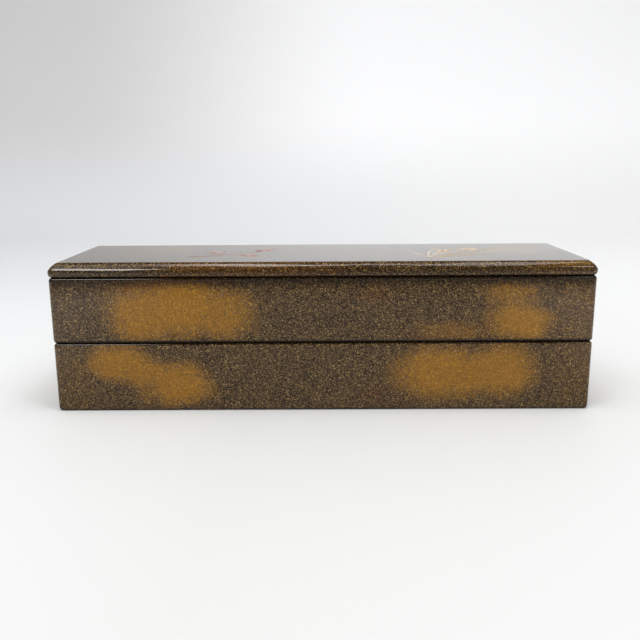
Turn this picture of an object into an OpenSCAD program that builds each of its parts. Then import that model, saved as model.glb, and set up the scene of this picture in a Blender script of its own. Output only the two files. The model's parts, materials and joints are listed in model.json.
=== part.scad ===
// Two-tier lacquered writing box with a bevelled lid, its fitted tray of inkstone, water
// dropper and ink stick, and its lift-out tray of two capped brushes.
// Origin: middle of the footprint on the table. +X along the box, -Y is the front, +Z up.

/* [Box] */
// Length of the tiers over their end faces
box_w = 256; // [250:1:300]
// Depth of the tiers from front to back
box_d = 74; // [72:1:100]
// Height of the lower tier from the table to its rim
lower_h = 33.5; // [31:0.5:44]
// Height of the upper tier from the lower rim to its own rim
upper_h = 31.5; // [30:0.5:44]

/* [Boards] */
// Thickness of the four wall boards of a tier, and of the rim under the lid board
wall_t = 4.4; // [3.8:0.1:5]
// Thickness of the floor board of a tier
floor_t = 3; // [2.4:0.1:3.4]
// Height of the lowest floor board above the table
floor_recess = 0.8; // [0.4:0.1:1.2]
// How far a floor board enters the wall boards
floor_seat = 1.6; // [1:0.1:1.8]
// Thickness of the thin lining boards inside the walls
lining_t = 1.6; // [1.2:0.1:2]
// Height that the lining stands above the rim, as the lip that locates what is stacked on it
lip_h = 2.5; // [1.8:0.1:2.5]

/* [Edges] */
// Radius of a tier's upright corners, seen from above
corner_r = 2; // [1.8:0.1:2.4]
// Radius of a tier's edges along the seams
edge_r = 1.6; // [0.8:0.1:1.7]
// Radius of the edge round the base
base_r = 1.7; // [0.8:0.1:1.7]

/* [Lid] */
// Thickness of the lid board at its flat middle
lid_board_t = 3.9; // [3:0.1:5]
// Height of the rim under the lid board, which hides the lip of the upper tier
lid_rim_h = 2.9; // [2.8:0.1:4]
// How far the lid stands out past the tiers on each side
lid_overhang = 0.4; // [0:0.1:0.6]
// Width of the bevel round the flat top, seen from above
lid_bevel = 3.9; // [3:0.1:4.6]
// How far the bevel bulges past a straight chamfer
lid_bevel_bulge = 0.5; // [0.2:0.1:0.8]
// Radius of the corners of the lid where it is widest, seen from above
lid_corner_r = 3; // [2.4:0.1:5]
// Radius of the corners of the flat top, seen from above
lid_top_corner_r = 1.2; // [0.6:0.1:3]
// Radius of the lower edge of the lid
lid_under_r = 1.8; // [0.8:0.1:2]

/* [Fits] */
// Clearance round and above a lip
lip_gap = 0.35; // [0.3:0.05:0.4]
// Clearance between a lift-out tray and the lining
tray_gap = 0.5; // [0.3:0.05:0.8]
// Clearance between the stone, the dropper or the ink stick and its seat
seat_gap = 0.4; // [0.3:0.05:0.6]
// Clearance between a brush and the notches that it lies in
notch_gap = 0.3; // [0.2:0.05:0.4]

/* [Fitted tray] */
// Thickness of the thin board under the fitted tray
fitted_base_t = 2.2; // [1.6:0.1:3]
// Thickness of the board with the cut-outs, which is the depth of the seats
fitted_frame_t = 6.5; // [5:0.1:7]
// Radius of the finger notches in the ends of both trays
finger_r = 8; // [7:0.5:9]
// Wood left between the finger notch and the inkstone
stone_margin = 5.5; // [4:0.5:7]

/* [Inkstone] */
// Length of the inkstone
stone_l = 112; // [100:1:116]
// Width of the inkstone
stone_w = 50; // [40:1:52]
// Height of the inkstone
stone_h = 14; // [12.5:0.5:16]
// Width of the rim round the top of the inkstone
stone_rim = 4; // [3:0.5:6]
// Depth of the grinding land below the rim
land_depth = 1.4; // [1:0.1:2]
// Depth of the ink pond below the rim
pond_depth = 8; // [7.5:0.5:9]
// Length of the flat floor of the pond
pond_l = 17; // [14:1:22]
// Length of the slope from the land down to the pond
slope_l = 30; // [20:1:40]

/* [Water dropper] */
// Length of the water dropper
dropper_l = 42; // [34:1:50]
// Width of the water dropper
dropper_w = 27; // [22:1:27]
// Height of the water dropper without its spout
dropper_h = 14; // [12:0.5:16]
// Thickness of the metal of the water dropper
dropper_t = 1; // [0.8:0.1:1.4]
// Height of the spout above the top plate
spout_h = 2.2; // [1.5:0.1:3]
// Radius of the bore of the spout
spout_bore_r = 1; // [0.6:0.1:1.2]

/* [Ink stick] */
// Length of the ink stick
stick_l = 74; // [50:1:80]
// Width of the ink stick
stick_w = 17; // [12:1:17]
// Height of the ink stick
stick_h = 8.5; // [7:0.5:10]

/* [Brush tray] */
// Height of the two ledges that carry the brush tray above the lower floor
ledge_h = 7.2; // [5:0.2:8]
// Thickness of the ledges
ledge_t = 2.4; // [1.6:0.1:3]
// Thickness of the floor of the brush tray
brush_floor_t = 2; // [1.6:0.1:3]
// Height of the sides of the brush tray above its floor
brush_side_h = 13; // [11:0.5:14]
// Thickness of the sides of the brush tray
brush_side_t = 2.6; // [2:0.1:3]
// Thickness of the two notched rests across the brush tray
rest_t = 5; // [4:0.5:8]
// Distance from the middle of the box to each brush
brush_pitch = 11; // [9:0.5:14]

/* [Brushes] */
// Length of a bamboo handle
handle_l = 146; // [130:1:150]
// Radius of a bamboo handle
handle_r = 3.75; // [3.4:0.05:3.9]
// Length of hair that shows past the handle
tuft_l = 24; // [18:1:26]
// Radius of the hair where it enters the handle
tuft_r = 3; // [2.4:0.1:3.1]
// Length of a brush cap
cap_l = 46; // [44:1:50]
// Outer radius of a brush cap
cap_r = 5.2; // [5:0.05:5.4]
// How far a cap covers the end of the handle
cap_cover = 12; // [8:1:14]

/* [Hidden] */

SIDES = ["front", "right", "back", "left"];
ARC_STEPS = 6;     // flats in a quarter turn of an eased edge
CURVE_STEPS = 10;  // flats along the bevel of the lid and the slope of the inkstone
SLACK = 1;         // how far a cutter runs past the face that it opens

half_w = box_w / 2;
half_d = box_d / 2;

// Levels above the table
lower_floor_top = floor_recess + floor_t;
upper_base = lower_h;
upper_floor_low = upper_base + lip_h + lip_gap;
upper_floor_top = upper_floor_low + floor_t;
upper_rim = upper_base + upper_h;
lid_board_low = upper_rim + lid_rim_h;

// Inside of the lining
inner_half_w = half_w - wall_t - lining_t;
inner_half_d = half_d - wall_t - lining_t;

// Trays
tray_half_w = inner_half_w - tray_gap;
tray_half_d = inner_half_d - tray_gap;
seat_floor = upper_floor_top + fitted_base_t;
fitted_top = seat_floor + fitted_frame_t;
brush_tray_low = lower_floor_top + ledge_h;
brush_tray_top = brush_tray_low + brush_floor_t + brush_side_h;
brush_in_half_w = tray_half_w - brush_side_t;
brush_in_half_d = tray_half_d - brush_side_t;

// Places of what lies in the fitted tray. The ink stick lies midway between the stone and the right
// finger notch, and the wood in front of, between and behind the dropper and the stick is as wide
stone_x = -tray_half_w + finger_r + stone_margin + seat_gap + stone_l / 2;
stick_x = (stone_x + stone_l / 2 + seat_gap + tray_half_w - finger_r) / 2;
dropper_x = stick_x;
small_margin = (2 * tray_half_d - dropper_w - stick_w - 4 * seat_gap) / 3;
dropper_y = tray_half_d - small_margin - seat_gap - dropper_w / 2;
stick_y = small_margin + seat_gap + stick_w / 2 - tray_half_d;

// Brushes: the handle starts near the left end of the tray and the cap faces right
brush_end_gap = 4.9;     // from the end of the tray to the handle
cap_floor_gap = 1.6;     // from the floor of the tray to the cap
cap_fit = 0.25;          // clearance between the handle and the bore of the cap
cap_end_wall = 4;
tuft_root_l = 7;         // hair held in the handle
left_rest_share = 0.2;   // where the left rest holds the handle, as a share of its length
right_rest_share = 0.25; // where the right rest holds the cap past the handle, as a share of the cap
brush_start_x = -brush_in_half_w + brush_end_gap;
brush_z = brush_tray_low + brush_floor_t + cap_floor_gap + cap_r;
handle_end_x = brush_start_x + handle_l;
cap_start_x = handle_end_x - cap_cover;
cap_bore_r = handle_r + cap_fit;
left_rest_x = brush_start_x + handle_l * left_rest_share;
right_rest_x = handle_end_x + cap_l * right_rest_share;

LACQUER = [0.33, 0.24, 0.14];
BLACK_LACQUER = [0.09, 0.07, 0.06];
STONE = [0.2, 0.21, 0.22];
COPPER = [0.55, 0.36, 0.22];
INK = [0.07, 0.07, 0.08];
BAMBOO = [0.72, 0.56, 0.34];
HAIR = [0.86, 0.8, 0.68];

// ---------- outlines ----------

// Points of an arc round [x, y] from angle a to angle b
function arc(x, y, r, a, b, steps = ARC_STEPS) =
    [for (i = [0 : steps]) let (t = a + (b - a) * i / steps) [x + r * cos(t), y + r * sin(t)]];

// The eased edge of a section, or its plain corner where the radius is 0
function edge(x, y, r, a, b) = r > 0 ? arc(x, y, r, a, b) : [[x, y]];

// Section of a board from its outer face inwards: [distance in from the face, height]
function eased_section(h, low_r, top_r, reach) = concat(
    edge(low_r, low_r, low_r, 270, 180),
    edge(top_r, h - top_r, top_r, 180, 90),
    [[reach, h], [reach, 0]]
);

// Bulging bevel, an arc over the chord of a chamfer: [distance in, height] after a share of it
function bevel_point(h, bevel, bulge, share) =
    let (
        chord = norm([bevel, h]),
        r = (chord * chord / 4 + bulge * bulge) / (2 * bulge),
        half_turn = asin(chord / (2 * r)),
        t = half_turn * (2 * share - 1),
        along = chord / 2 + r * sin(t),
        out = r * (cos(t) - cos(half_turn))
    )
    [(along * bevel - out * h) / chord, (along * h + out * bevel) / chord];

// The same section seen from the centre of a corner: [radius, height]
function about_corner(section, r) = [for (p = section) [r - p[0], p[1]]];

// Corner points of a rectangle with round corners
function round_rect(l, w, r) = concat(
    arc(l / 2 - r, w / 2 - r, r, 0, 90),
    arc(r - l / 2, w / 2 - r, r, 90, 180),
    arc(r - l / 2, r - w / 2, r, 180, 270),
    arc(l / 2 - r, r - w / 2, r, 270, 360)
);

// ---------- general solids ----------

// A block with its lower face at z = 0, centred on the z axis
module block(l, w, h) {
    translate([-l / 2, -w / 2, 0]) cube([l, w, h]);
}

// A section drawn across the board, run along x for a length of l
module run_along_x(l, section) {
    translate([-l / 2, 0, 0]) rotate([90, 0, 90]) linear_extrude(l) polygon(section);
}

// One mitred side of a frame: the front one, which half_l and half_c give the size of
module mitred_front(half_l, half_c, h, r, section, corner_section, reach) {
    intersection() {
        translate([0, -half_c, 0]) run_along_x(2 * (half_l - r), section);
        linear_extrude(h) polygon([
            [-half_l, -half_c], [half_l, -half_c],
            [half_l - reach, reach - half_c], [reach - half_l, reach - half_c]
        ]);
    }
    for (corner = [[half_l - r, -90], [r - half_l, -135]])
        translate([corner[0], r - half_c, 0]) rotate([0, 0, corner[1]])
            rotate_extrude(angle = 45) polygon(corner_section);
}

// Side 0 is the front, and the others follow it round to the right
module mitred_side(side, half_l, half_c, h, r, low_r, top_r, reach) {
    own_half = side % 2 == 0 ? half_l : half_c;
    across_half = side % 2 == 0 ? half_c : half_l;
    rotate([0, 0, 90 * side])
        mitred_front(own_half, across_half, h, r,
            eased_section(h, low_r, top_r, reach),
            about_corner(eased_section(h, low_r, top_r, r), r), reach);
}

// A slab with round corners, whose edge all the way round has the given section
module edged_slab(half_l, half_c, r, section) {
    across = function (half) concat(
        [for (p = section) if (p[0] < r) [p[0] - half, p[1]]],
        [for (i = [len(section) - 1 : -1 : 0]) if (section[i][0] < r) [half - section[i][0], section[i][1]]]
    );
    run_along_x(2 * (half_l - r), across(half_c));
    rotate([0, 0, 90]) run_along_x(2 * (half_c - r), across(half_l));
    for (corner = [[1, 1, 0], [-1, 1, 90], [-1, -1, 180], [1, -1, 270]])
        translate([corner[0] * (half_l - r), corner[1] * (half_c - r), 0])
            rotate([0, 0, corner[2]]) rotate_extrude(angle = 90) polygon(about_corner(section, r));
}

// ---------- tiers ----------

module floor_outline(h) {
    block(box_w - 2 * (wall_t - floor_seat), box_d - 2 * (wall_t - floor_seat), h);
}

module floor_board(low) {
    translate([0, 0, low]) floor_outline(floor_t);
}

module lower_wall(side) {
    color(LACQUER) difference() {
        mitred_side(side, half_w, half_d, lower_h, corner_r, base_r, edge_r, wall_t);
        floor_board(floor_recess);
        // the floor board is put in from below
        translate([0, 0, -SLACK]) floor_outline(SLACK + floor_recess);
    }
}

module upper_wall(side) {
    color(LACQUER) difference() {
        translate([0, 0, upper_base])
            mitred_side(side, half_w, half_d, upper_h, corner_r, edge_r, edge_r, wall_t);
        floor_board(upper_floor_low);
    }
}

// Lining board of a tier, whose top is the lip: it stands on the floor board
module lining(side, low, rim) {
    own_half = (side % 2 == 0 ? half_w : half_d) - wall_t;
    across_half = (side % 2 == 0 ? half_d : half_w) - wall_t;
    lip_ease = 0.5;
    section = concat(
        [[0, low], [lining_t, low]],
        arc(lining_t - lip_ease, rim + lip_h - lip_ease, lip_ease, 0, 90, 3),
        arc(lip_gap + lip_ease, rim + lip_h - lip_ease, lip_ease, 90, 180, 3),
        [[lip_gap, rim], [0, rim]]
    );
    color(BLACK_LACQUER) rotate([0, 0, 90 * side]) intersection() {
        translate([0, -across_half, 0]) run_along_x(2 * own_half, section);
        linear_extrude(rim + lip_h) polygon([
            [-own_half, -across_half], [own_half, -across_half],
            [own_half - lining_t, lining_t - across_half], [lining_t - own_half, lining_t - across_half]
        ]);
    }
}

module ledge(end) {
    color(BLACK_LACQUER)
        translate([end * (inner_half_w - ledge_t / 2), 0, lower_floor_top])
            block(ledge_t, 2 * inner_half_d, ledge_h);
}

// ---------- lid ----------

module lid_rim(side) {
    color(LACQUER) difference() {
        translate([0, 0, upper_rim])
            mitred_side(side, half_w + lid_overhang, half_d + lid_overhang, lid_rim_h, lid_corner_r,
                lid_under_r, 0, max(lid_corner_r, wall_t + lid_overhang));
        translate([0, 0, upper_rim - SLACK])
            block(box_w - 2 * wall_t, box_d - 2 * wall_t, lid_rim_h + 2 * SLACK);
    }
}

// The corners tighten as the bevel climbs from the rim to the flat top
module lid_board() {
    skin = 0.01;  // thickness of each outline that the hull goes round
    color(LACQUER) translate([0, 0, lid_board_low]) hull()
        for (i = [0 : CURVE_STEPS]) let (
            share = i / CURVE_STEPS,
            p = bevel_point(lid_board_t, lid_bevel, lid_bevel_bulge, share),
            r = lid_corner_r + (lid_top_corner_r - lid_corner_r) * p[0] / lid_bevel
        )
            translate([0, 0, i == 0 ? 0 : p[1] - skin]) linear_extrude(skin) polygon(
                round_rect(2 * (half_w + lid_overhang - p[0]), 2 * (half_d + lid_overhang - p[0]), r));
}

// ---------- fitted tray of the upper tier ----------

module finger_notches(low, h) {
    for (end = [-1, 1])
        translate([end * tray_half_w, 0, low - SLACK]) cylinder(r = finger_r, h = h + 2 * SLACK, $fn = 64);
}

module seat(x, y, l, w, r) {
    translate([x, y, seat_floor - SLACK]) linear_extrude(fitted_frame_t + 2 * SLACK)
        polygon(round_rect(l + 2 * seat_gap, w + 2 * seat_gap, r + seat_gap));
}

module fitted_base() {
    color(BLACK_LACQUER) difference() {
        translate([0, 0, upper_floor_top]) block(2 * tray_half_w, 2 * tray_half_d, fitted_base_t);
        finger_notches(upper_floor_top, fitted_base_t);
    }
}

STONE_CORNER_R = 3;
DROPPER_CORNER_R = 4;
STICK_CORNER_R = 1.6;

module fitted_frame() {
    color(BLACK_LACQUER) difference() {
        translate([0, 0, seat_floor]) block(2 * tray_half_w, 2 * tray_half_d, fitted_frame_t);
        finger_notches(seat_floor, fitted_frame_t);
        seat(stone_x, 0, stone_l, stone_w, STONE_CORNER_R);
        seat(dropper_x, dropper_y, dropper_l, dropper_w, DROPPER_CORNER_R);
        seat(stick_x, stick_y, stick_l, stick_w, STICK_CORNER_R);
    }
}

// ---------- inkstone, water dropper and ink stick ----------

// Side view of what is carved out of the stone: pond at the left end, then the slope, then the land
function well_side() =
    let (
        left = -stone_l / 2, right = stone_l / 2,
        pond_end = left + stone_rim + pond_l
    )
    concat(
        [[left, stone_h + SLACK], [left, stone_h - pond_depth]],
        [for (i = [0 : CURVE_STEPS]) let (t = i / CURVE_STEPS, rise = t * t * (3 - 2 * t))
            [pond_end + slope_l * t, stone_h - pond_depth + (pond_depth - land_depth) * rise]],
        [[right, stone_h - land_depth], [right, stone_h + SLACK]]
    );

module inkstone() {
    stone_edge = 0.8;
    well_w = stone_w - 2 * stone_rim;
    color(STONE) translate([stone_x, 0, seat_floor]) difference() {
        edged_slab(stone_l / 2, stone_w / 2, STONE_CORNER_R,
            eased_section(stone_h, stone_edge, stone_edge, STONE_CORNER_R));
        intersection() {
            linear_extrude(stone_h + 2 * SLACK)
                polygon(round_rect(stone_l - 2 * stone_rim, well_w, STONE_CORNER_R + 2));
            translate([0, well_w / 2 + SLACK, 0]) rotate([90, 0, 0])
                linear_extrude(well_w + 2 * SLACK) polygon(well_side());
        }
    }
}

module dropper_body() {
    side_h = dropper_h - dropper_t;
    base_edge = 0.8;
    inside = round_rect(dropper_l - 2 * dropper_t, dropper_w - 2 * dropper_t, DROPPER_CORNER_R - dropper_t);
    color(COPPER) translate([dropper_x, dropper_y, seat_floor]) difference() {
        edged_slab(dropper_l / 2, dropper_w / 2, DROPPER_CORNER_R,
            eased_section(side_h, base_edge, 0, DROPPER_CORNER_R));
        translate([0, 0, dropper_t]) linear_extrude(side_h) polygon(inside);
    }
}

spout_inset = 6;  // from both edges of the top plate to the middle of the spout
spout_x = dropper_x - dropper_l / 2 + spout_inset;
spout_y = dropper_y - dropper_w / 2 + spout_inset;

module dropper_top() {
    air_hole_r = 1.1;
    color(COPPER) difference() {
        translate([dropper_x, dropper_y, seat_floor + dropper_h - dropper_t])
            edged_slab(dropper_l / 2, dropper_w / 2, DROPPER_CORNER_R,
                eased_section(dropper_t, 0, dropper_t / 2, DROPPER_CORNER_R));
        translate([dropper_x, dropper_y, seat_floor + dropper_h - 2 * dropper_t])
            cylinder(r = air_hole_r, h = 3 * dropper_t, $fn = 48);
        translate([spout_x, spout_y, seat_floor + dropper_h - 2 * dropper_t])
            cylinder(r = spout_bore_r, h = 3 * dropper_t, $fn = 48);
    }
}

module dropper_spout() {
    wall = 1.2;
    color(COPPER) translate([spout_x, spout_y, seat_floor + dropper_h]) rotate_extrude($fn = 48)
        polygon([
            [spout_bore_r, 0], [spout_bore_r + wall, 0],
            [spout_bore_r + wall / 2, spout_h], [spout_bore_r, spout_h]
        ]);
}

module ink_stick() {
    stick_edge = 0.7;
    panel_depth = 0.5;
    panel_border = 3.5;
    color(INK) translate([stick_x, stick_y, seat_floor]) difference() {
        edged_slab(stick_l / 2, stick_w / 2, STICK_CORNER_R,
            eased_section(stick_h, stick_edge, stick_edge, STICK_CORNER_R));
        translate([0, 0, stick_h - panel_depth]) linear_extrude(SLACK)
            polygon(round_rect(stick_l - 2 * panel_border, stick_w - 2 * panel_border, STICK_CORNER_R));
    }
}

// ---------- brush tray of the lower tier ----------

module brush_tray_floor() {
    color(BLACK_LACQUER) translate([0, 0, brush_tray_low])
        block(2 * tray_half_w, 2 * tray_half_d, brush_floor_t);
}

// Long side of the brush tray, with its top edge rounded over
module brush_tray_long(side) {
    flat_half = 0.2;  // half of the flat left on the rounded top edge
    r = brush_side_t / 2 - flat_half;
    section = concat(
        [[0, 0]],
        arc(r, brush_side_h - r, r, 180, 90),
        arc(brush_side_t - r, brush_side_h - r, r, 90, 0),
        [[brush_side_t, 0]]
    );
    outer_y = side > 0 ? tray_half_d - brush_side_t : -tray_half_d;
    color(BLACK_LACQUER) translate([0, outer_y, brush_tray_low + brush_floor_t])
        run_along_x(2 * tray_half_w, section);
}

// Short side of the brush tray, between the long ones, with a finger notch
module brush_tray_end(end) {
    color(BLACK_LACQUER) difference() {
        translate([end * (tray_half_w - brush_side_t / 2), 0, brush_tray_low + brush_floor_t])
            block(brush_side_t, 2 * brush_in_half_d, brush_side_h);
        translate([end * tray_half_w, 0, brush_tray_top]) rotate([0, 90, 0])
            cylinder(r = finger_r, h = 4 * brush_side_t, center = true, $fn = 64);
    }
}

// A bar across the brush tray with a half-round notch for each brush
module brush_rest(x, brush_r) {
    rest_low = brush_tray_low + brush_floor_t;
    color(BLACK_LACQUER) difference() {
        translate([x, 0, rest_low]) block(rest_t, 2 * brush_in_half_d, brush_z - rest_low);
        for (side = [-1, 1])
            translate([x, side * brush_pitch, brush_z]) rotate([0, 90, 0])
                cylinder(r = brush_r + notch_gap, h = 2 * rest_t, center = true, $fn = 64);
    }
}

// ---------- brushes ----------

// Places a brush piece that is drawn up the z axis so that it lies along +X
module lay_brush(side, x) {
    translate([x, side * brush_pitch, brush_z]) rotate([0, 90, 0]) children();
}

// Joint of a bamboo stem: a low ring round it
module bamboo_ring(z, r) {
    ring_half = 1.6;
    ring_rise = 0.18;
    translate([0, 0, z]) rotate_extrude($fn = 64) polygon([
        [r - 1, -ring_half], [r, -ring_half], [r + ring_rise, -ring_half / 4],
        [r + ring_rise, ring_half / 4], [r, ring_half], [r - 1, ring_half]
    ]);
}

module brush_handle(side) {
    end_ease = 0.8;
    hair_fit = 0.05;
    color(BAMBOO) lay_brush(side, brush_start_x) difference() {
        union() {
            rotate_extrude($fn = 64) polygon([
                [0, 0], [handle_r - end_ease, 0], [handle_r, end_ease], [handle_r, handle_l], [0, handle_l]
            ]);
            for (share = [0.31, 0.68]) bamboo_ring(handle_l * share, handle_r);
        }
        translate([0, 0, handle_l - tuft_root_l])
            cylinder(r = tuft_r + hair_fit, h = tuft_root_l + SLACK, $fn = 64);
    }
}

// Hair swells a little past the handle and runs out to a point
function tuft_radius(t) = tuft_r * (1 + 0.35 * t) * pow(1 - t * t, 0.8);

module brush_tuft(side) {
    tip_t = 0.985;
    color(HAIR) lay_brush(side, handle_end_x) rotate_extrude($fn = 64) polygon(concat(
        [[0, -tuft_root_l], [tuft_r, -tuft_root_l]],
        [for (i = [0 : CURVE_STEPS]) let (t = tip_t * i / CURVE_STEPS) [tuft_radius(t), tuft_l * t]],
        [[0, tuft_l]]
    ));
}

module brush_cap(side) {
    end_ease = 0.9;
    color(BAMBOO) lay_brush(side, cap_start_x) difference() {
        rotate_extrude($fn = 64) polygon([
            [0, 0], [cap_r, 0], [cap_r, cap_l - end_ease], [cap_r - end_ease, cap_l], [0, cap_l]
        ]);
        translate([0, 0, -SLACK]) cylinder(r = cap_bore_r, h = cap_l - cap_end_wall + SLACK, $fn = 64);
    }
}

// ---------- nodes ----------

for (side = [0 : 3]) {
    lower_wall(side);
    upper_wall(side);
    lid_rim(side);
    lining(side, lower_floor_top, lower_h);
    lining(side, upper_floor_top, upper_rim);
}
color(BLACK_LACQUER) floor_board(floor_recess);  // lower_floor
color(BLACK_LACQUER) floor_board(upper_floor_low);  // upper_floor
ledge(-1);  // ledge_left
ledge(1);  // ledge_right
lid_board();
fitted_base();
fitted_frame();
inkstone();
dropper_body();
dropper_top();
dropper_spout();
ink_stick();
brush_tray_floor();
brush_tray_long(-1);  // brush_tray_front
brush_tray_long(1);  // brush_tray_back
brush_tray_end(-1);  // brush_tray_left
brush_tray_end(1);  // brush_tray_right
brush_rest(left_rest_x, handle_r);  // brush_rest_left
brush_rest(right_rest_x, cap_r);  // brush_rest_right
brush_handle(-1);  // front_brush_handle
brush_tuft(-1);  // front_brush_tuft
brush_cap(-1);  // front_brush_cap
brush_handle(1);  // back_brush_handle
brush_tuft(1);  // back_brush_tuft
brush_cap(1);  // back_brush_cap
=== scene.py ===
"""The looks of a two-tier lacquered writing box: its sprinkled-gold lacquer, the raised gold sprays on the
lid, and the slate, copper, ink, bamboo and hair of what lies inside. Millimetres become metres in mm()."""
import json
import math
import random

import bpy
from mathutils import Matrix, Vector


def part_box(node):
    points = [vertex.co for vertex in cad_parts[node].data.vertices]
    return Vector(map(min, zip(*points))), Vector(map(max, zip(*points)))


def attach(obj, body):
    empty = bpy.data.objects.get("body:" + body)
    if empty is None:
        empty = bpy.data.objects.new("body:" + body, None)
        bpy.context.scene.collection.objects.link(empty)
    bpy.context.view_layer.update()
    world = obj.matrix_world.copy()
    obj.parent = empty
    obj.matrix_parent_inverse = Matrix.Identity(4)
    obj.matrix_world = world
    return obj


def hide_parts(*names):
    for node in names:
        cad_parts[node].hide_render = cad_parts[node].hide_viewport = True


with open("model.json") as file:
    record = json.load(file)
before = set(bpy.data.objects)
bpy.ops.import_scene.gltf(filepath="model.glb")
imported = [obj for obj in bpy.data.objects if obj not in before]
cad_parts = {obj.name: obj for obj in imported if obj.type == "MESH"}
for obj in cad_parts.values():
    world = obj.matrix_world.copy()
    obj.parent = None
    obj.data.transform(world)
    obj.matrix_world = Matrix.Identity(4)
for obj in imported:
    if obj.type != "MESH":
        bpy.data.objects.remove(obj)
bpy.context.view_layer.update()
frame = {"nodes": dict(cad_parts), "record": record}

# ---------- camera, from the vanishing lines of the box in the photograph ----------
IMAGE_W = 640            # pixels across the image
FOCAL_PX = 735           # focal length in those pixels
SENSOR_MM = 36
PITCH_DOWN, YAW, ROLL = 12.61, 0.37, 0.37      # degrees
# Millimetres sideways, in front of the box and above the table
CAMERA_X, CAMERA_AHEAD, CAMERA_Z = 1.1, 337.3, 120.0


def mm(*values):
    """Millimetres to metres, one number or a vector."""
    return values[0] / 1000 if len(values) == 1 else Vector(v / 1000 for v in values)


def linear(hex_colour):
    """An sRGB hex colour as linear RGBA."""
    parts = [int(hex_colour[i:i + 2], 16) / 255 for i in (1, 3, 5)]
    return tuple(c / 12.92 if c <= 0.04045 else ((c + 0.055) / 1.055) ** 2.4 for c in parts) + (1,)


def put(tree, kind, inputs=(), output=0, stops=(), **settings):
    """Adds a node and gives one of its output sockets. inputs go to its sockets in their order or by name:
    a socket is linked, and a hex colour turned to linear. stops are a colour ramp's (place, hex colour)
    pairs, and settings the node's own properties. A Mix of colours takes its share at 0 and its colours at
    6 and 7, and gives its result at 2. A MapRange takes value, from low, from high, to low, to high."""
    node = tree.nodes.new("ShaderNode" + kind)
    for name, value in settings.items():
        setattr(node, name, value)
    for name, value in (inputs if isinstance(inputs, dict) else dict(enumerate(inputs))).items():
        if isinstance(value, bpy.types.NodeSocket):
            tree.links.new(value, node.inputs[name])
        else:
            node.inputs[name].default_value = linear(value) if isinstance(value, str) else value
    if stops:
        elements = node.color_ramp.elements
        while len(elements) < len(stops):
            elements.new(0.5)
        for element, (place, colour) in zip(elements, stops):
            element.position = place
            element.color = linear(colour)
    return node.outputs[output]


EASED = {"interpolation_type": "SMOOTHSTEP"}     # for a MapRange: slow at both of its ends


def new_material(name, **shader_values):
    """A material whose Principled shader has these constant values, its node tree and its shader."""
    material = bpy.data.materials.new(name)
    material.use_nodes = True
    tree = material.node_tree
    shader = tree.nodes["Principled BSDF"]
    for socket, value in shader_values.items():
        shader.inputs[socket.replace("_", " ")].default_value = value
    return material, tree, shader


def wire(tree, shader, **sockets):
    """Links each socket to the shader's input of that name."""
    for name, socket in sockets.items():
        tree.links.new(socket, shader.inputs[name.replace("_", " ")])


def rest_place(tree):
    """Where a point lies on its piece at rest, in millimetres, so that a noise's Scale is 1 / its size."""
    place = put(tree, "TexCoord", output="Object")
    return put(tree, "VectorMath", (place, (1000, 1000, 1000)), operation="MULTIPLY")


# ---------- lacquer ----------

LID_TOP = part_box("lid_board")[1].z * 1000

# Clouds of gold and of copper powder on each storey of the box: middle (x, y, z) and reach (x, y, z) in
# millimetres, and how dense. Those at FRONT lie where the photograph has them, the others are chosen alike.
FRONT, BACK, LEFT, RIGHT = -37, 37, -128, 128
GOLD_CLOUDS = {
    "lower": [
        ((-95, FRONT, 24), (17, 20, 9), 1.0), ((-83, FRONT, 19), (14, 18, 8), 0.9),
        ((-70, FRONT, 13.5), (17, 18, 11), 1.0), ((55, FRONT, 19), (22, 20, 13), 1.0),
        ((70, FRONT, 16), (18, 20, 10), 0.95), ((84, FRONT, 20), (19, 20, 13), 1.0),
        ((92, BACK, 18), (24, 20, 14), 1.0), ((64, BACK, 12), (20, 16, 9), 1.0),
        ((-60, BACK, 20), (36, 20, 16), 1.0), ((RIGHT, -8, 18), (14, 21, 14), 1.0),
        ((LEFT, 10, 16), (14, 20, 13), 1.0), ((118, FRONT, 20), (12, 12, 18), 0.12),
        ((-118, FRONT, 14), (10, 12, 18), 0.08),
    ],
    "upper": [
        ((-83, FRONT, 47), (20, 20, 14), 0.95), ((-67, FRONT, 51), (20, 18, 15), 1.0),
        ((-49, FRONT, 48), (18, 18, 12), 0.85), ((94, FRONT, 43), (16, 16, 10), 1.0),
        ((89, FRONT, 56), (13, 16, 9), 0.6), ((62, FRONT, 39), (17, 12, 5), 0.33),
        ((70, BACK, 54), (34, 20, 18), 1.0), ((-92, BACK, 48), (22, 20, 18), 1.0),
        ((RIGHT, 14, 52), (14, 17, 14), 1.0), ((LEFT, -8, 52), (14, 19, 16), 1.0),
        ((118, FRONT, 48), (12, 12, 16), 0.14),
    ],
    "lid": [
        ((-84, 12, LID_TOP), (24, 12, 4), 0.8), ((100, 6, LID_TOP), (22, 14, 4), 0.8),
        ((116, FRONT, 69), (26, 9, 5), 0.3),
    ],
}
COPPER_CLOUDS = {
    "lower": [
        ((30, FRONT, 8), (16, 12, 8), 0.16), ((-112, FRONT, 22), (6, 12, 8), 0.18),
        ((20, BACK, 8), (20, 12, 8), 0.5),
    ],
    "upper": [
        ((-74, FRONT, 61), (28, 9, 6), 0.6), ((60, FRONT, 38), (22, 12, 6), 0.35),
        ((97, FRONT, 42), (11, 12, 8), 0.5), ((26, FRONT, 57), (10, 12, 5), 0.2),
        ((-40, BACK, 40), (24, 12, 8), 0.5),
    ],
    "lid": [
        ((-36, FRONT, 69), (50, 9, 9), 0.4), ((-60, BACK, 69), (50, 9, 8), 0.5),
        ((-100, -20, LID_TOP), (12, 6, 4), 0.5),
    ],
}
CLOUD_EDGE, CLOUD_CORE = 1.35, 0.4    # shares of its reach where a cloud has faded out, and is densest
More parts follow.
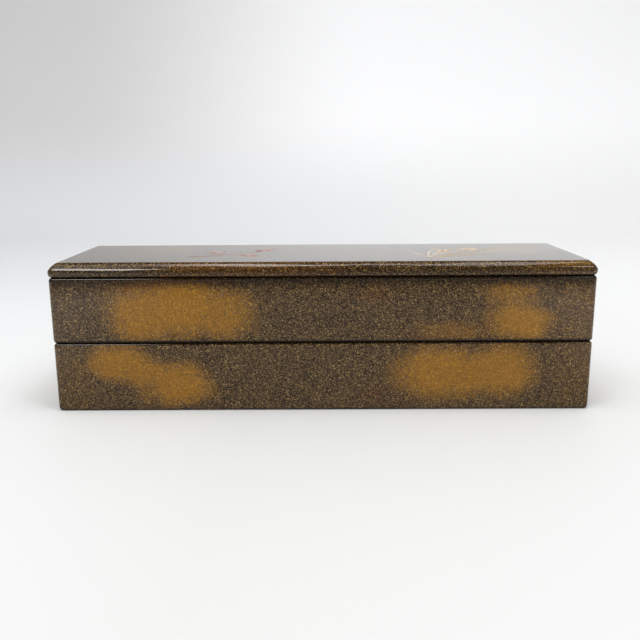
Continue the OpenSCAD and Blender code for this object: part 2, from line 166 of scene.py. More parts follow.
# Lines of painted shade round a storey, where the flakes give way to black: in the seams between storeys,
# under the
# lid's overhang, at the foot, and on the lid's lower band, where they also paint a dark reflection. Each
# entry:
# (height z, fades out within, how black). A line is blackest near its height, within the core distance set
# below. All in millimetres.
SHADE_LINE_CORE = 0.1
PAINTED_SHADE_LINES = {
    "lower": [(33.4, 1.0, 1.0), (0.0, 1.6, 0.5)],
    "upper": [(34.2, 1.2, 1.0), (65.0, 6.8, 0.92)],
    "lid": [(65.3, 0.9, 0.9), (68.0, 3.3, 0.55)],
}
# Fine and coarse flakes: millimetres from flake to flake, and the share of places that hold one. They are
# drawn at about twice their real size, because real ones would melt into an even brown in the render.
FLAKES = [(0.4, 1.0), (0.7, 0.6)]
FLAKE_RIM, FLAKE_BODY = 0.62, 0.4     # shares of that distance where a flake ends, and is whole
FLAKE_LEAN = 0.35        # how unevenly the coarse flakes lie: the spread of their normals along each axis


def clouds(tree, place, where):
    """How far a point is inside the nearest cloud of a list, from 0 to 1."""
    inside = 0.0
    for middle, reach, dense in where:
        away = put(tree, "VectorMath", (place, middle), operation="SUBTRACT")
        shares = put(tree, "VectorMath", (away, reach), operation="DIVIDE")
        length = put(tree, "VectorMath", (shares,), "Value", operation="LENGTH")
        depth = put(tree, "MapRange", (length, CLOUD_EDGE, CLOUD_CORE, 0, dense), **EASED)
        inside = put(tree, "Math", (inside, depth), operation="MAXIMUM")
    return inside


def drifted(tree, place, size, by):
    """Coordinates pushed about by millimetres, so that what is drawn on them gets an uneven edge."""
    drift = {"Vector": place, "Scale": 1 / size, "Detail": 4, "Roughness": 0.6}
    colour = put(tree, "TexNoise", drift, "Color")
    centred = put(tree, "VectorMath", (colour, (0.5, 0.5, 0.5)), operation="SUBTRACT")
    push = put(tree, "VectorMath", (centred, (by, by, by)), operation="MULTIPLY")
    return put(tree, "VectorMath", (place, push), operation="ADD")


def flakes(tree, place, spacing, density):
    """Flakes strewn at a density of 0 to 1: their mask, and for each its tone, its kind and its slant."""
    cells = put(tree, "TexVoronoi", {"Vector": place, "Scale": 1 / spacing}).node.outputs
    chances = put(tree, "SeparateColor", (cells["Color"],)).node.outputs
    there = put(tree, "Math", (chances[0], density), operation="LESS_THAN")
    body = put(tree, "MapRange", (cells["Distance"], FLAKE_RIM, FLAKE_BODY), **EASED)
    mask = put(tree, "Math", (there, body), operation="MULTIPLY")
    return mask, chances[1], chances[2], cells["Color"]


def nashiji_lacquer(storey):
    """Sprinkled-gold lacquer: flakes strewn on black lacquer under clear amber lacquer, polished flat. The
    eye sees a brown depth full of points that glint, golden where they lie close, under one wet gloss."""
    material, tree, shader = new_material(
        f"nashiji_lacquer_{storey}", Roughness=0.45, Specular_IOR_Level=0.0, Coat_Weight=1.0,
        Coat_Roughness=0.03, Coat_IOR=1.5)
    place = rest_place(tree)
    height = put(tree, "SeparateXYZ", (place,), "Z")
    # painted shade: how deep a point lies in the lines of painted shade
    black = 0.0
    for line_z, fade, share in PAINTED_SHADE_LINES[storey]:
        above = put(tree, "Math", (height, line_z), operation="SUBTRACT")
        away = put(tree, "Math", (above,), operation="ABSOLUTE")
        near = put(tree, "MapRange", (away, fade, SHADE_LINE_CORE, 0, share), **EASED)
        black = put(tree, "Math", (black, near), operation="MAXIMUM")
    golden = clouds(tree, drifted(tree, place, 14, 13), GOLD_CLOUDS[storey])
    # the gold clouds give way to the painted shade
    left_golden = put(tree, "Math", (1.0, black), operation="SUBTRACT")
    golden = put(tree, "Math", (golden, left_golden), operation="MULTIPLY")
    coppery = clouds(tree, drifted(tree, place, 12, 12), COPPER_CLOUDS[storey])
    patchy = put(tree, "TexNoise", {"Vector": place, "Scale": 1 / 20, "Detail": 3}, "Fac")

    # the coats go on: powder grounds and fine and coarse flakes as on the bench, then the black of the
    # painted shade
    coats = [(put(tree, "MapRange", (coppery, 0, 0.8), **EASED), "#50300f"), (golden, "#80581c")]
    crowded = put(tree, "MapRange", (golden, 0, 1, 0.5, 0.8), **EASED)
    # fewer flakes within the painted shade
    thinned = put(tree, "MapRange", (black, 0, 1, 1, 0.7), **EASED)
    density = put(tree, "Math", (crowded, thinned), operation="MULTIPLY")
    copper_chance = put(tree, "Math", (coppery, 0.7), operation="MULTIPLY")
    for spacing, share in FLAKES:
        strewn = put(tree, "Math", (density, share), operation="MULTIPLY")
        mask, tone, kind, slant = flakes(tree, place, spacing, strewn)
        # a flake is gold by its own chance, so a cloud thins out flake by flake at its edge
        gold_one = put(tree, "Math", (kind, golden), operation="LESS_THAN")
        copper_one = put(tree, "Math", (kind, copper_chance), operation="LESS_THAN")
        brown = put(tree, "ValToRGB", (tone,), stops=((0.0, "#4c3a25"), (0.5, "#785e3c"), (1.0, "#aa8b58")))
        gold = put(tree, "ValToRGB", (tone,), stops=((0.0, "#80561b"), (0.5, "#a07020"), (1.0, "#be8d32")))
        copper = put(tree, "ValToRGB", (tone,), stops=((0.0, "#683a16"), (0.6, "#a06026"), (1.0, "#c0823a")))
        flake = put(tree, "Mix", {0: copper_one, 6: brown, 7: copper}, 2, data_type="RGBA")
        coats.append((mask, put(tree, "Mix", {0: gold_one, 6: flake, 7: gold}, 2, data_type="RGBA")))
    # the painted shade itself, black with a brown cast
    coats.append((put(tree, "Math", (black, 0.82), operation="MULTIPLY"), "#0f0a07"))
    if storey == "lid":
        # the top has more clear lacquer over its flakes, so it is deeper than the sides
        flat_top = put(tree, "MapRange", (height, LID_TOP - 0.5, LID_TOP - 0.1, 0, 0.5), **EASED)
        coats.append((flat_top, "#221e1b"))
    colour = put(tree, "ValToRGB", (patchy,), stops=((0.3, "#281c11"), (0.7, "#362716")))
    for share, coat in coats:
        colour = put(tree, "Mix", {0: share, 6: colour, 7: coat}, 2, data_type="RGBA")

    # the coarse flakes, strewn last, lie each at its own slant and glint by themselves under a coat that
    # swells a little
    centred = put(tree, "VectorMath", (slant, (0.5, 0.5, 0.5)), operation="SUBTRACT")
    lean = put(tree, "VectorMath", (centred, (FLAKE_LEAN,) * 3), operation="MULTIPLY")
    leaning = put(tree, "VectorMath", (put(tree, "NewGeometry", output="Normal"), lean), operation="ADD")
    swell = put(tree, "TexNoise", {"Vector": place, "Scale": 1 / 9, "Detail": 1}, "Fac")
    wire(tree, shader, Base_Color=colour,
         Metallic=put(tree, "Math", (mask, 0.4), operation="MULTIPLY"),
         Normal=put(tree, "VectorMath", (leaning,), operation="NORMALIZE"),
         Coat_Normal=put(tree, "Bump", {"Height": swell, "Distance": mm(0.02)}, "Normal"))
    return material


def black_lacquer():
    """Polished black lacquer: near black with a brown cast, a deep gloss, and faint hairlines along it."""
    material, tree, shader = new_material(
        "black_lacquer", Coat_Weight=1.0, Coat_Roughness=0.06, Coat_IOR=1.52)
    place = rest_place(tree)
    cast = put(tree, "TexNoise", {"Vector": place, "Scale": 1 / 30, "Detail": 3}, "Fac")
    # the hairlines are drawn several times as wide as real ones, so that they show
    drawn_out = put(tree, "VectorMath", (place, (0.05, 1, 1)), operation="MULTIPLY")
    hairlines = put(tree, "TexNoise", {"Vector": drawn_out, "Scale": 1 / 0.35}, "Fac")
    swell = put(tree, "TexNoise", {"Vector": place, "Scale": 1 / 7, "Detail": 1}, "Fac")
    wire(tree, shader,
         Base_Color=put(tree, "ValToRGB", (cast,), stops=((0.3, "#120d0b"), (0.7, "#1d1410"))),
         Roughness=put(tree, "MapRange", (hairlines, 0.3, 0.75, 0.22, 0.42), **EASED),
         Coat_Normal=put(tree, "Bump", {"Height": swell, "Distance": mm(0.02)}, "Normal"))
    return material


# ---------- gold work, stone, copper, ink, bamboo and hair ----------

def powdered_gold(name, *stops):
    """Metal powder dusted on wet lacquer and lacquered over: a soft grainy metal under the box's gloss."""
    material, tree, shader = new_material(
        name, Metallic=0.3, Coat_Weight=1.0, Coat_Roughness=0.05, Coat_IOR=1.5)
    place = rest_place(tree)
    # the grains are drawn about three times as coarse as real powder, so that they show
    grain = put(tree, "TexNoise", {"Vector": place, "Scale": 1 / 0.3, "Detail": 3, "Roughness": 0.7}, "Fac")
    patches = put(tree, "TexNoise", {"Vector": place, "Scale": 1 / 9}, "Fac")
    fine = put(tree, "Math", (grain, 0.3), operation="MULTIPLY")
    tone = put(tree, "Math", (patches, 0.7, fine), operation="MULTIPLY_ADD")
    wire(tree, shader,
         Base_Color=put(tree, "ValToRGB", (tone,), stops=stops),
         Roughness=put(tree, "MapRange", (grain, 0.3, 0.7, 0.28, 0.5), **EASED),
         Normal=put(tree, "Bump", {"Height": grain, "Distance": mm(0.03)}, "Normal"))
    return material


def honed_slate():
    """Inkstone slate: fine-grained blue-black, honed dull, stained glossy black where ink has stood."""
    material, tree, shader = new_material("honed_slate", Specular_IOR_Level=0.4)
    place = rest_place(tree)
    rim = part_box("inkstone")[1].z * 1000
    bedded = put(tree, "VectorMath", (place, (0.25, 1, 1)), operation="MULTIPLY")
    beds = put(tree, "TexNoise", {"Vector": bedded, "Scale": 1 / 6, "Detail": 4, "Roughness": 0.6}, "Fac")
    # slate's own grain is too fine to show, so it is drawn a few times as coarse
    grain = put(tree, "TexNoise", {"Vector": place, "Scale": 1 / 0.25}, "Fac")
    stone = put(tree, "ValToRGB", (beds,), stops=((0.25, "#2f3134"), (0.5, "#3b3d41"), (0.75, "#474a4d")))
    grit = put(tree, "Math", (grain, 0.35), operation="MULTIPLY")
    stone = put(tree, "Mix", {0: grit, 6: stone, 7: "#5a5e62"}, 2, data_type="RGBA")
    # ink has stood up to an uneven line a little under the rim
    height = put(tree, "SeparateXYZ", (drifted(tree, place, 8, 3),), "Z")
    inked = put(tree, "MapRange", (height, rim - 1.2, rim - 5.5), **EASED)
    wire(tree, shader,
         Base_Color=put(tree, "Mix", {0: inked, 6: stone, 7: "#0c0c0e"}, 2, data_type="RGBA"),
         Roughness=put(tree, "MapRange", (inked, 0, 1, 0.56, 0.24), **EASED),
         Normal=put(tree, "Bump", {"Height": grain, "Distance": mm(0.04)}, "Normal"))
    return material


def hammered_copper():
    """Raised copper: brown with handling, its surface planished in small round facets."""
    material, tree, shader = new_material("hammered_copper", Metallic=1.0)
    place = rest_place(tree)
    tarnish = put(tree, "TexNoise", {"Vector": place, "Scale": 1 / 5, "Detail": 4, "Roughness": 0.65}, "Fac")
    facets = put(tree, "TexVoronoi", {"Vector": place, "Scale": 1 / 1.6}, "Distance", feature="SMOOTH_F1")
    wire(tree, shader,
         Base_Color=put(tree, "ValToRGB", (tarnish,),
                        stops=((0.3, "#7a4a30"), (0.55, "#9a6242"), (0.8, "#b98360"))),
         Roughness=put(tree, "MapRange", (tarnish, 0.3, 0.75, 0.46, 0.28), **EASED),
         Normal=put(tree, "Bump", {"Height": facets, "Distance": mm(0.12)}, "Normal"))
    return material


def pressed_ink():
    """A cake of soot and glue from a carved mould: dense black, satin, finely crazed."""
    material, tree, shader = new_material("pressed_ink")
    place = rest_place(tree)
    crazing = put(tree, "TexVoronoi", {"Vector": place, "Scale": 1 / 2.2}, "Distance",
                  feature="DISTANCE_TO_EDGE")
    crack = put(tree, "MapRange", (crazing, 0.02, 0.07), **EASED)
    cloudy = put(tree, "TexNoise", {"Vector": place, "Scale": 1 / 4, "Detail": 4}, "Fac")
    wire(tree, shader,
         Base_Color=put(tree, "ValToRGB", (cloudy,), stops=((0.3, "#0e0e10"), (0.7, "#1c1b1d"))),
         Roughness=put(tree, "MapRange", (cloudy, 0.3, 0.7, 0.3, 0.5), **EASED),
         Normal=put(tree, "Bump", {"Height": crack, "Distance": mm(0.03)}, "Normal"))
    return material


def polished_bamboo():
    """Bamboo stem, scraped and polished: straw yellow, fine fibres along the stem, brown flecks."""
    material, tree, shader = new_material("polished_bamboo", Coat_Weight=0.35, Coat_Roughness=0.18)
    place = rest_place(tree)
    along = put(tree, "VectorMath", (place, (0.02, 1, 1)), operation="MULTIPLY")
    fibres = put(tree, "TexNoise", {"Vector": along, "Scale": 1 / 0.3, "Detail": 3}, "Fac")
    flecked = put(tree, "VectorMath", (place, (0.35, 1, 1)), operation="MULTIPLY")
    mottle = put(tree, "TexNoise", {"Vector": flecked, "Scale": 1 / 5, "Detail": 4}, "Fac")
    flecks = put(tree, "Math", (mottle, 0.6), operation="MULTIPLY")
    tone = put(tree, "Math", (fibres, 0.45, flecks), operation="MULTIPLY_ADD")
    wire(tree, shader,
         Base_Color=put(tree, "ValToRGB", (tone,),
                        stops=((0.3, "#8f6a38"), (0.5, "#c39a5c"), (0.75, "#dcbb80"))),
         Roughness=put(tree, "MapRange", (fibres, 0.3, 0.7, 0.32, 0.48), **EASED),
         Normal=put(tree, "Bump", {"Height": fibres, "Distance": mm(0.05)}, "Normal"))
    return material


def brush_hair():
    """Goat and weasel hair bound to a point: cream at the root, browner towards the tip, silky along it."""
    material, tree, shader = new_material("brush_hair", Roughness=0.5, Sheen_Weight=0.3)
    place = rest_place(tree)
    drawn_out = put(tree, "VectorMath", (place, (0.02, 1, 1)), operation="MULTIPLY")
    # a strand is drawn twice as thick as a real hair, so that it shows
    strands = put(tree, "TexNoise", {"Vector": drawn_out, "Scale": 1 / 0.12}, "Fac")
    low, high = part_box("front_brush_tuft")
    along = put(tree, "SeparateXYZ", (place,), "X")
    towards_tip = put(tree, "MapRange", (along, low.x * 1000 + 10, high.x * 1000), **EASED)
    cream = put(tree, "ValToRGB", (strands,), stops=((0.25, "#bfae8c"), (0.55, "#ddd0b2"), (0.8, "#f0e7cf")))
    brown = put(tree, "ValToRGB", (strands,), stops=((0.25, "#6e4e2c"), (0.55, "#96713f"), (0.8, "#b58e58")))
    wire(tree, shader,
         Base_Color=put(tree, "Mix", {0: towards_tip, 6: cream, 7: brown}, 2, data_type="RGBA"),
         Normal=put(tree, "Bump", {"Height": strands, "Distance": mm(0.05)}, "Normal"))
    return material


# ---------- meshes ----------

SHARP_FOLD = 50          # degrees between two faces from which their edge stays sharp


class Mesh:
    """Vertices in millimetres and faces, gathered from several shapes into one piece."""

    def __init__(self):
        self.points, self.faces = [], []

    def skin(self, rings):
        """A skin through rings with the same number of points, closed at its ends."""
        count, first = len(rings[0]), len(self.points)
        for ring in rings:
            self.points.extend(ring)
        for r in range(len(rings) - 1):
            for i in range(count):
                a, b = first + r * count + i, first + r * count + (i + 1) % count
                self.faces.append((a, b, b + count, a + count))
        self.faces.append(tuple(first + i for i in reversed(range(count))))
        last = first + (len(rings) - 1) * count
        self.faces.append(tuple(last + i for i in range(count)))

    def piece(self, name, material, body, slot):
        """The gathered shapes as one object that rides on a body."""
        mesh = bpy.data.meshes.new(name)
        mesh.from_pydata([mm(*p) for p in self.points], [], self.faces)
        mesh.validate()
        mesh.shade_smooth()
        mesh.set_sharp_from_angle(angle=math.radians(SHARP_FOLD))
        mesh.materials.append(material)
        piece = bpy.data.objects.new(name, mesh)
        bpy.context.scene.collection.objects.link(piece)
        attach(piece, body)
        return piece


def arc_path(start, middle, end, count):
    """Points of a smooth curve that leaves start, leans on middle and arrives at end."""
    start, middle, end = Vector(start), Vector(middle), Vector(end)
    shares = [i / count for i in range(count + 1)]
    return [((1 - t) ** 2) * start + 2 * t * (1 - t) * middle + t * t * end for t in shares]


# Raised work, in millimetres
SUNK = 0.04              # how far it enters the surface that it lies on
NARROWEST, LOWEST = 0.05, 0.03      # half width and height at the tips
LEAF_HEIGHT, PETAL_HEIGHT, BEAD_HEIGHT, SIDE_LEAF_HEIGHT = 0.12, 0.12, 0.2, 0.1
BLADE_HEIGHT = STEM_HEIGHT = 0.09


def raised_blade(mesh, path, width, ridge, base_z, fullness):
    """A leaf or petal in relief along a flat path: widest at fullness of its length, with a ridge down it."""
    last = len(path) - 1
    rings = []
    for i, point in enumerate(path):
        t = i / last
        swell = (t / fullness) ** 0.6 if t < fullness else ((1 - t) / (1 - fullness)) ** 0.8
        half = max(width / 2 * swell, NARROWEST)
        height = max(ridge * min(1.0, swell + 0.2), LOWEST)
        shoulder = height * 0.35
        ahead = path[min(i + 1, last)] - path[max(i - 1, 0)]
        side = Vector((-ahead.y, ahead.x)).normalized()
        ring = []
        for across, up in ((-1, -SUNK), (-0.9, shoulder), (0, height), (0.9, shoulder), (1, -SUNK)):
            spot = point + side * half * across
            ring.append((spot.x, spot.y, base_z + up))
        rings.append(ring[::-1])
    mesh.skin(rings)


def raised_stem(mesh, path, width, base_z, ridge=STEM_HEIGHT):
    """A stem in relief, as wide all along."""
    rings = []
    for i, point in enumerate(path):
        ahead = path[min(i + 1, len(path) - 1)] - path[max(i - 1, 0)]
        side = Vector((-ahead.y, ahead.x)).normalized() * width / 2
        ring = [(point - side, -SUNK), (point - side * 0.6, ridge * 0.8), (point, ridge),
                (point + side * 0.6, ridge * 0.8), (point + side, -SUNK)]
        rings.append([(p.x, p.y, base_z + up) for p, up in ring][::-1])
    mesh.skin(rings)


def polar(middle, angle, length):
    """The point at that angle and distance from middle."""
    return Vector(middle) + Vector((math.cos(angle), math.sin(angle))) * length


# Maple: a lobe for each (degrees from the middle lobe, share of its length)
MAPLE_LOBES = [(0, 1.0), (38, 0.9), (-38, 0.9), (78, 0.68), (-78, 0.68), (122, 0.4), (-122, 0.4)]


def maple_leaf(mesh, middle, size, heading, base_z):
    """Seven pointed lobes round a point, the longest towards heading, and a curved stalk."""
    for degrees, share in MAPLE_LOBES:
        angle = math.radians(heading + degrees)
        tip = polar(middle, angle, size * share)
        bend = polar(middle, angle + 0.05 * (1 if degrees > 0 else -1), size * share * 0.5)
        lobe = arc_path(middle, bend, tip, 10)
        raised_blade(mesh, lobe, size * 0.3 * share, LEAF_HEIGHT, base_z, fullness=0.42)
    stalk = polar(middle, math.radians(heading + 183), size * 0.62)
    side = polar(middle, math.radians(heading + 170), size * 0.3)
    raised_stem(mesh, arc_path(stalk, side, middle, 8), 0.35, base_z)


def bell_flower(mesh, middle, size, heading, base_z):
    """Five broad pointed petals, and five small beads between them at the middle."""
    petals, turn = 5, 72     # and the degrees from petal to petal
    for petal in range(petals):
        angle = math.radians(heading + turn * petal)
        path = arc_path(polar(middle, angle, size * 0.08), polar(middle, angle, size * 0.5),
                        polar(middle, angle, size), 9)
        raised_blade(mesh, path, size * 0.95, PETAL_HEIGHT, base_z, fullness=0.5)
    for bead in range(petals):
        angle = math.radians(heading + turn / 2 + turn * bead)
        path = arc_path(middle, polar(middle, angle, size * 0.14), polar(middle, angle, size * 0.26), 4)
        raised_blade(mesh, path, size * 0.12, BEAD_HEIGHT, base_z, fullness=0.6)


def lid_maple_spray(material):
    """A short maple twig with three leaves, left of the middle of the lid."""
    mesh = Mesh()
    twig = arc_path((-66, -15), (-50, -13), (-30, 6), 16)
    raised_stem(mesh, twig, 0.6, LID_TOP)
    for middle, size, heading in (((-53, -1), 8.5, 118), ((-37, -12), 7.0, -28), ((-31, 9), 9.5, 52)):
        near = min(twig, key=lambda p: (p - Vector(middle)).length)
        stalk = polar(middle, math.radians(heading + 183), size * 0.62)
        raised_stem(mesh, arc_path(near, (near + stalk) / 2, stalk, 6), 0.4, LID_TOP)
        maple_leaf(mesh, middle, size, heading, LID_TOP)
    mesh.piece("lid_maple_spray", material, "lid", "nashiji_lacquer")


def lid_grass_spray(material):
    """Long autumn grass blades with two bell flowers, right of the middle of the lid."""
    mesh = Mesh()
    root = (52, -22)
    for end, lean, width in (((96, 6), (70, 18), 1.7), ((88, 24), (60, 14), 1.5),
                             ((70, 26), (52, 8), 1.3), ((100, -12), (80, -2), 1.5),
                             ((44, 14), (46, -4), 1.2), ((84, -20), (70, -12), 1.2)):
        raised_blade(mesh, arc_path(root, lean, end, 26), width, BLADE_HEIGHT, LID_TOP, fullness=0.3)
    for flower, lean, size, heading in (((76, 8), (62, -2), 5.6, 20), ((62, 4), (56, -8), 4.4, 55)):
        raised_stem(mesh, arc_path(root, lean, flower, 14), 0.45, LID_TOP)
        bell_flower(mesh, flower, size, heading, LID_TOP + 0.02)
    # a seeding stem with small leaves on it, by turns on either side
    stem = arc_path(root, (74, -4), (92, 14), 20)
    for leaf in range(9):
        near = stem[int((0.25 + leaf * 0.08) * 20)]
        out = polar(near, math.radians(40 + 100 * (leaf % 2)), 3.4)
        side_leaf = arc_path(near, (near + out) / 2, out, 6)
        raised_blade(mesh, side_leaf, 1.5, SIDE_LEAF_HEIGHT, LID_TOP, fullness=0.5)
    raised_stem(mesh, stem, 0.4, LID_TOP)
    mesh.piece("lid_grass_spray", material, "lid", "nashiji_lacquer")


PANEL_DEPTH = 0.5        # the ink stick's sunk panel, in millimetres


def ink_stick_leaves(material):
    """Bamboo leaves in low relief in the sunk panel of the ink stick."""
    low, high = (v * 1000 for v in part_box("ink_stick"))
    middle = (low + high) / 2
    panel = high.z - PANEL_DEPTH
    mesh = Mesh()
    stem = arc_path((middle.x - 24, middle.y - 3.2), (middle.x, middle.y - 1.6),
                    (middle.x + 22, middle.y + 2.4), 24)
    raised_stem(mesh, stem, 0.5, panel, ridge=0.2)
    # each leaf: the point of the stem that it grows from, degrees, and length
    for at, degrees, length in ((4, 38, 8), (4, -22, 6), (10, 46, 9), (11, -18, 8),
                                (16, 34, 8), (17, -30, 7), (22, 20, 8), (23, -14, 8)):
        tip = polar(stem[at], math.radians(degrees), length * 0.8)
        path = arc_path(stem[at], (stem[at] + tip) / 2 + Vector((0, 0.3)), tip, 9)
        raised_blade(mesh, path, 1.5, 0.3, panel, fullness=0.4)
    mesh.piece("ink_stick_leaves", material, "ink_stick", "pressed_ink")


ROSETTE_PETALS = 14


def dropper_rosette(material):
    """Chased petals round the air hole of the water dropper."""
    low, high = (v * 1000 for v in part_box("dropper_top"))
    middle = Vector(((low.x + high.x) / 2, (low.y + high.y) / 2))
    mesh = Mesh()
    for petal in range(ROSETTE_PETALS):
        angle = 2 * math.pi * petal / ROSETTE_PETALS
        path = arc_path(polar(middle, angle, 1.7), polar(middle, angle, 3.2), polar(middle, angle, 6.2), 8)
        raised_blade(mesh, path, 1.9, 0.32, high.z, fullness=0.72)
    mesh.piece("dropper_rosette", material, "water_dropper", "copper")


TUFT_ROOT = 7            # length of hair held in the handle, in millimetres
HAIRS = 150              # that stand out from the core of each tuft
HAIR_THICK = 0.055       # millimetres from a hair's middle to its skin at its root: twice a real hair's
CORE_INSIDE, HAIRS_INSIDE = 0.12, 0.08     # millimetres that core and hairs stay inside the tuft's outline
TIP = 0.985              # share of the length at which the core ends, just short of a point


def tuft_radius(t, widest):
    """The tuft swells a little past the handle and runs out to a point."""
    return widest * 0.97 * (1 + 0.35 * t) * max(1 - t * t, 0) ** 0.8


def brush_tuft(side, material):
    """A brush tuft: a fluted core and fine hairs that follow it, drawn together at the tip."""
    node = f"{side}_brush_tuft"
    low, high = (v * 1000 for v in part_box(node))
    centre_y, centre_z = (low.y + high.y) / 2, (low.z + high.z) / 2
    mouth, tip = low.x + TUFT_ROOT, high.x
    widest = (high.z - low.z) / 2 / 1.02     # the solid is a little fuller than the hair
    chance = random.Random(node)
    around, along = 96, 40
    flute = [chance.uniform(0.0, 1.0) for _ in range(around)]
    mesh = Mesh()
    rings = []
    for j in range(along + 1):
        t = j / along * TIP
        radius = tuft_radius(t, widest - CORE_INSIDE)
        ring = []
        for i in range(around):
            angle = 2 * math.pi * i / around
            r = radius * (1 - 0.05 * flute[i])
            x = mouth + (tip - mouth) * t
            ring.append((x, centre_y + r * math.cos(angle), centre_z + r * math.sin(angle)))
        rings.append(ring)
    narrow = 0.95
    root = [(low.x, centre_y + (y - centre_y) * narrow, centre_z + (z - centre_z) * narrow)
            for _, y, z in rings[0]]
    mesh.skin([root] + rings)
    for _ in range(HAIRS):
        angle = chance.uniform(0, 2 * math.pi)
        drift, lift = chance.uniform(-0.25, 0.25), chance.uniform(-0.1, 0.07)
        start, stop = chance.uniform(0, 0.3), chance.uniform(0.82, 1.0)
        rings = []
        for k in range(13):
            t = start + (stop - start) * k / 12
            turn = angle + drift * t
            r = tuft_radius(min(t, TIP), widest - HAIRS_INSIDE) + lift
            out = Vector((0, math.cos(turn), math.sin(turn)))
            sideways = Vector((0, -math.sin(turn), math.cos(turn)))
            spot = Vector((mouth + (tip - mouth) * t, centre_y, centre_z)) + out * max(r, 0.03)
            thick = HAIR_THICK * (1 - 0.7 * k / 12)
            rings.append([tuple(spot + out * thick), tuple(spot + (sideways - out * 0.5) * thick),
                          tuple(spot - (sideways + out * 0.5) * thick)])
        mesh.skin(rings)
    piece = mesh.piece(f"{side}_brush_hair", material, f"{side}_brush", "brush_hair")
    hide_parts(node)


# ---------- the room ----------

def pale_stage():
    """A matt white table that curves up into the wall behind. Its colour holds painted light: the wall and
    the far table are darker to the left, the near table brightest at its far left.
    """
    material, tree, shader = new_material("pale_table", Roughness=0.6, Specular_IOR_Level=0.2)
    axes = put(tree, "SeparateXYZ", (rest_place(tree),)).node.outputs

    def across(left, right, *stops):
        """A colour that changes along x, between two places in millimetres."""
        share = put(tree, "MapRange", (axes["X"], left, right), **EASED)
        return put(tree, "ValToRGB", (share,), stops=stops)

    def over(axis, start, end, first, second, full=1.0):
        """One colour giving way to another along an axis, between two places in millimetres."""
        share = put(tree, "MapRange", (axes[axis], start, end, 0, full), **EASED)
        return put(tree, "Mix", {0: share, 6: first, 7: second}, 2, data_type="RGBA")

    # painted light and shade: each stretch of the stage gets lighter or darker along x
    wall = across(-480, 120, (0.0, "#cbcac9"), (1.0, "#eeeeee"))
    near = across(-560, 420, (0.0, "#e6e7e8"), (0.55, "#d3d3d1"), (1.0, "#dadad9"))
    far = across(-480, 480, (0.0, "#d4d5d7"), (1.0, "#e2e2e1"))
    floor = over("Y", -60, 420, near, far)
    # only the lacquer sees this darker floor: a white one would veil its black ground
    mirrored = put(tree, "LightPath", output="Is Glossy Ray")
    aside = put(tree, "Math", (axes["X"],), operation="ABSOLUTE")
    aside = put(tree, "MapRange", (aside, 110, 230), **EASED)
    veil = put(tree, "ValToRGB", (aside,), stops=((0.0, "#9b9a99"), (1.0, "#e6e2de")))
    veil = over("Y", -290, -420, veil, "#4a4540", full=0.75)
    floor = put(tree, "Mix", {0: mirrored, 6: floor, 7: veil}, 2, data_type="RGBA")
    wire(tree, shader, Base_Color=over("Z", 15, 200, floor, wall))
    half_wide, front, bend, back, high = 2600, -2200, 700, 1100, 1500
    curve = [(front, 0), (bend, 0)]
    steps = 16
    for step in range(1, steps + 1):
        angle = math.radians(90 * step / steps)
        curve.append((bend + (back - bend) * math.sin(angle), (back - bend) * (1 - math.cos(angle))))
    curve.append((back, high))
    mesh = bpy.data.meshes.new("pale_table")
    points = [mm(x, y, z) for y, z in curve for x in (-half_wide, half_wide)]
    strips = [(2 * i, 2 * i + 1, 2 * i + 3, 2 * i + 2) for i in range(len(curve) - 1)]
    mesh.from_pydata(points, [], strips)
    mesh.shade_smooth()
    mesh.materials.append(material)
    table = bpy.data.objects.new("pale_table", mesh)
    bpy.context.scene.collection.objects.link(table)


# The lamps are the room's windows and ceiling panels, as the lid's bevel and corners mirror them:
# name, direction from the box, distance, width and height in metres, watts
LAMPS = [
    ("window_left", (-0.54, -0.66, 1.1), 1.41, 0.36, 0.22, 2.3),
    ("pale_wall_left", (-0.56, -0.12, 1.0), 1.6, 0.72, 0.9, 1.9),
    ("ceiling_panel", (-0.125, -0.07, 1.0), 1.4, 0.56, 0.26, 2.3),
    ("ceiling_panel_middle", (0.095, -0.07, 1.0), 1.42, 0.26, 0.27, 0.62),
    ("ceiling_panel_right", (0.29, -0.07, 1.0), 1.45, 0.66, 0.28, 1.6),
    ("window_right", (0.70, -0.65, 1.126), 1.48, 0.25, 0.3, 1.4),
]
# The room's own daylight, too even to be seen as a highlight
OVERHEAD = ("overhead_soft", (0.1, -0.2, 1.0), 1.8, 1.6, 1.2, 15.4)
AIM_HEIGHT = 45          # mm above the table that the lamps face


def soft_lamp(name, towards, distance, width, height, watts):
    """An area lamp of that size, in a direction from the box, turned to face it."""
    lamp = bpy.data.lights.new(name, "AREA")
    lamp.shape = "RECTANGLE"
    lamp.size, lamp.size_y = width, height
    lamp.energy = watts
    lamp_object = bpy.data.objects.new(name, lamp)
    aim = mm(0, 0, AIM_HEIGHT)
    lamp_object.location = aim + Vector(towards).normalized() * distance
    lamp_object.rotation_euler = (aim - lamp_object.location).to_track_quat("-Z", "Y").to_euler()
    bpy.context.scene.collection.objects.link(lamp_object)
    return lamp_object


def light_the_room():
    """The lamps, and a room that is pale to the eye and dark overhead where the lacquer mirrors it."""
    for lamp in LAMPS:
        soft_lamp(*lamp)
    soft_lamp(*OVERHEAD).visible_glossy = False
    world = bpy.data.worlds.new("room")
    bpy.context.scene.world = world
    world.use_nodes = True
    tree = world.node_tree
    rays = put(tree, "LightPath").node.outputs
    up = put(tree, "SeparateXYZ", (put(tree, "TexCoord", output="Generated"),), "Z")
    ceiling = put(tree, "ValToRGB", (up,), stops=((0.05, "#cfcfd1"), (0.45, "#4a4a4c"), (1.0, "#2c2c2e")))
    room = put(tree, "Mix", {0: rays["Is Glossy Ray"], 6: "#cfd0d2", 7: ceiling}, 2, data_type="RGBA")
    room = put(tree, "Mix", {0: rays["Is Camera Ray"], 6: room, 7: "#e4e4e6"}, 2, data_type="RGBA")
    wire(tree, tree.nodes["Background"], Color=room)
    tree.nodes["Background"].inputs["Strength"].default_value = 1.0


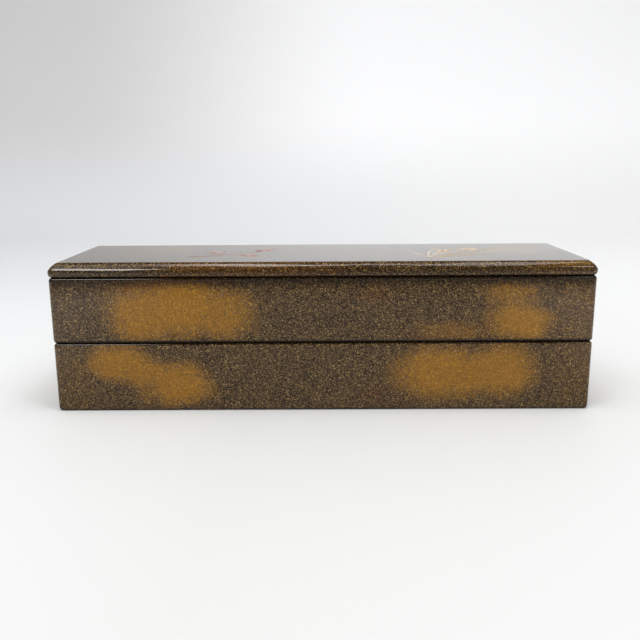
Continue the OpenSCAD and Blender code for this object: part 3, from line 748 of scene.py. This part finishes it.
def place_camera():
    """The photograph's camera: in front of the box, a little above it."""
    camera = bpy.data.cameras.new("camera")
    camera.sensor_fit = "HORIZONTAL"
    camera.sensor_width = SENSOR_MM
    camera.lens = FOCAL_PX * SENSOR_MM / IMAGE_W
    camera.clip_start = 0.01
    camera_object = bpy.data.objects.new("camera", camera)
    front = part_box("lower_wall_front")[0].y
    camera_object.matrix_world = (
        Matrix.Translation((mm(CAMERA_X), front - mm(CAMERA_AHEAD), mm(CAMERA_Z)))
        @ Matrix.Rotation(math.radians(YAW), 4, "Z")
        @ Matrix.Rotation(math.radians(90 - PITCH_DOWN), 4, "X")
        @ Matrix.Rotation(math.radians(-ROLL), 4, "Z"))
    bpy.context.scene.collection.objects.link(camera_object)
    bpy.context.scene.camera = camera_object


# ---------- the box ----------

WELD_WITHIN = 0.002      # millimetres
CREASE = 35              # degrees: eased edges are smooth below it, seams and arrises sharp above


def finish_cad_nodes(finishes):
    """Gives each CAD node its material and smooth shading over its eased edges."""
    slots = {row["node"]: row["material_slot"] for row in frame["record"]["subparts"]}
    for name, node in frame["nodes"].items():
        finish = slots[name]
        if finish == "nashiji_lacquer":
            finish += "_" + name.split("_")[0]
        node.data.materials.clear()
        node.data.materials.append(finishes[finish])
        weld = node.modifiers.new("weld", "WELD")
        weld.merge_threshold = mm(WELD_WITHIN)
        node.data.shade_smooth()
        creases = node.modifiers.new("creases_stay_sharp", "EDGE_SPLIT")
        creases.split_angle = math.radians(CREASE)
        weighted = node.modifiers.new("flat_faces_stay_flat", "WEIGHTED_NORMAL")
        weighted.weight = 100
        weighted.keep_sharp = True


place_camera()
pale_stage()
light_the_room()
finish_cad_nodes({
    **{f"nashiji_lacquer_{storey}": nashiji_lacquer(storey) for storey in GOLD_CLOUDS},
    "black_lacquer": black_lacquer(),
    "slate": honed_slate(),
    "copper": hammered_copper(),
    "pressed_ink": pressed_ink(),
    "bamboo": polished_bamboo(),
    "brush_hair": brush_hair(),
})
RED_GOLD = powdered_gold("red_gold_powder", (0.3, "#7c3a20"), (0.6, "#b06434"), (0.85, "#d49a5c"))
YELLOW_GOLD = powdered_gold("yellow_gold_powder", (0.3, "#96702c"), (0.6, "#c49a44"), (0.85, "#e8c878"))
OLD_GOLD = powdered_gold("old_gold_powder", (0.3, "#4c3a1c"), (0.6, "#80642e"), (0.85, "#b09050"))
lid_maple_spray(RED_GOLD)
lid_grass_spray(YELLOW_GOLD)
ink_stick_leaves(OLD_GOLD)
dropper_rosette(bpy.data.materials["hammered_copper"])
for side in ("front", "back"):
    brush_tuft(side, bpy.data.materials["brush_hair"])

bpy.context.scene.view_settings.view_transform = "Standard"
